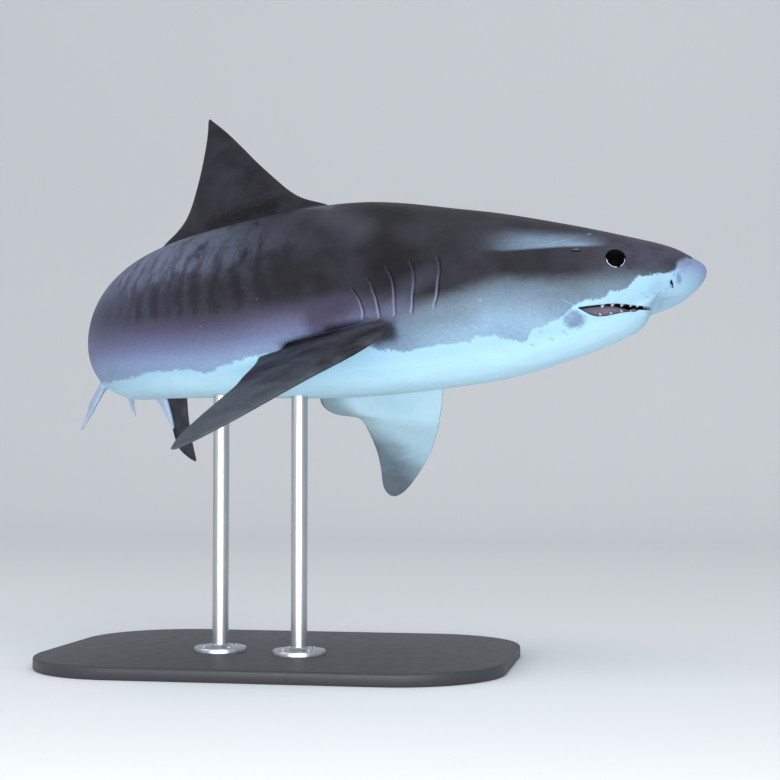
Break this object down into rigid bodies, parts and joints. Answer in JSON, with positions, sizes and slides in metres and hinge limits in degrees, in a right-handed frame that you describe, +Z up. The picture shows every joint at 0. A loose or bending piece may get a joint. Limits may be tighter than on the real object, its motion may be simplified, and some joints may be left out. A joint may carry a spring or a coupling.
{
  "type": "life-size tiger shark display model on a stand",
  "caption": "Tiger shark cruising through a left-hand turn, with a broad blunt head, long upswept tail and spread fins, held above a flat base by rods.",
  "frame": {"origin": "middle of the underside of the stand's base", "axes": "+X the way the chest points, +Y the shark's left, +Z up"},
  "size_m": [1.8343, 2.5935, 1.3927],
  "materials": {
    "skin": "satin, wet look, dark grey above and icy white below",
    "eye": "glossy black",
    "tooth": "ivory gloss",
    "mouth_lining": "moist grey",
    "stand_board": "satin dark grey",
    "stand_metal": "brushed"
  },
  "bodies": {
    "root": {"head": "skin", "lower_jaw": "skin", "gill_region": "skin", "trunk_front": "skin", "trunk_rear": "skin", "tail_stalk": "skin", "caudal_upper_lobe": "skin", "caudal_lower_lobe": "skin", "dorsal_fin": "skin", "second_dorsal_fin": "skin", "anal_fin": "skin", "pectoral_fin_left": "skin", "pectoral_fin_right": "skin", "pelvic_fin_left": "skin", "pelvic_fin_right": "skin", "eye_left": "eye", "eye_right": "eye", "stand_base": "stand_board", "stand_rod_front": "stand_metal", "stand_rod_rear": "stand_metal", "stand_flange_front": "stand_metal", "stand_flange_rear": "stand_metal"}
  },
  "joints": []
}
